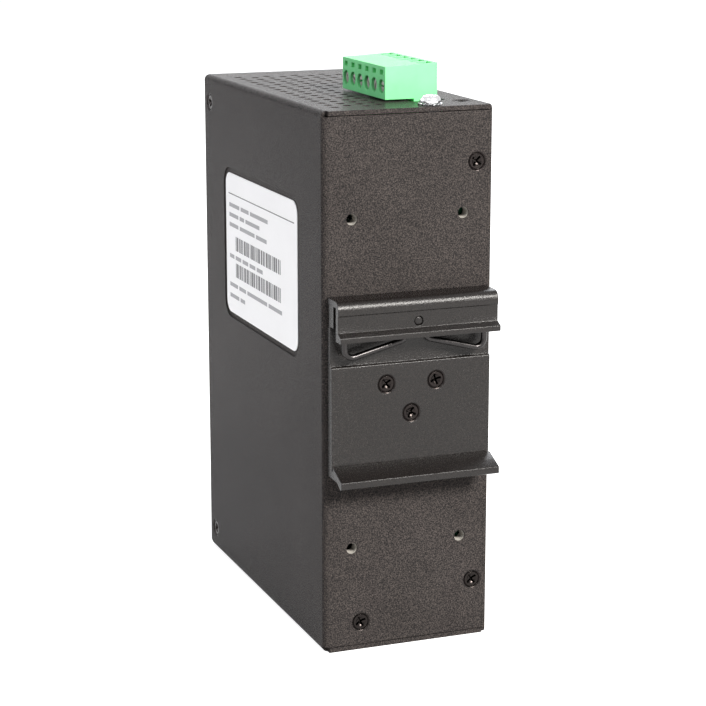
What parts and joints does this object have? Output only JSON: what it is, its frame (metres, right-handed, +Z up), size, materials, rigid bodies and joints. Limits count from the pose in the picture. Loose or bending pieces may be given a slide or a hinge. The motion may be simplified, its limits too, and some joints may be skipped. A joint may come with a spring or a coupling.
{
  "type": "din rail ethernet switch",
  "caption": "Slim metal-cased network switch with a spring rail clip on its back, a pull-off terminal block on its vented top and a column of network sockets on its front.",
  "frame": {"origin": "centre of the overall box at its base, on the underside of the case", "axes": "+Z up along the height, +Y out of the back wall towards the rail, +X towards the label side"},
  "size_m": [0.046, 0.109, 0.1515],
  "materials": {
    "case_paint": "dark grey fine-textured powder coat",
    "label_white": "white printed-label stock, bare",
    "dark_screw": "black zinc",
    "bright_steel": "bright zinc",
    "clip_black": "black anodised extrusion",
    "spring_steel": "drawn spring wire",
    "board_green": "solder-masked glass fibre board",
    "jack_shield": "tin-plated shield over a plastic body",
    "contact_gold": "gold-plated wire",
    "light_pipe": "clear moulded",
    "terminal_green": "moulded green",
    "tinned": "tin plated",
    "chip_black": "moulded package",
    "sink_black": "black anodised",
    "can_silver": "satin can",
    "ferrite": "moulded inductor",
    "nylon": "natural moulded nylon"
  },
  "bodies": {
    "switch": {"case_shell": "case_paint", "side_cover": "case_paint", "front_panel": "case_paint", "side_label": "label_white", "cover_screws": "dark_screw", "front_panel_screws": "dark_screw", "clip_screws": "dark_screw", "wall_mount_nuts": "bright_steel", "clip_nuts": "bright_steel", "ground_nut": "bright_steel", "ground_screw": "bright_steel", "ground_washer": "bright_steel", "din_clip": "clip_black", "spring_pin": "spring_steel", "spring_wire": "spring_steel", "main_board": "board_green", "board_posts": "nylon", "network_jack_1": "jack_shield", "network_jack_2": "jack_shield", "network_jack_3": "jack_shield", "network_jack_4": "jack_shield", "network_jack_5": "jack_shield", "jack_contacts": "contact_gold", "light_pipes": "light_pipe", "terminal_header": "terminal_green", "header_pins": "tinned", "switch_chip": "chip_black", "heat_sink": "sink_black", "input_capacitors": "can_silver", "power_inductor": "ferrite", "magnetics": "chip_black"},
    "plug": {"terminal_plug": "terminal_green", "clamp_cages": "tinned", "clamp_screws": "tinned"}
  },
  "joints": [
    {"name": "plug_pull", "type": "slide", "parent": "switch", "child": "plug", "axis": [0, 0, 1], "range_m": [0, 0.009]}
  ]
}
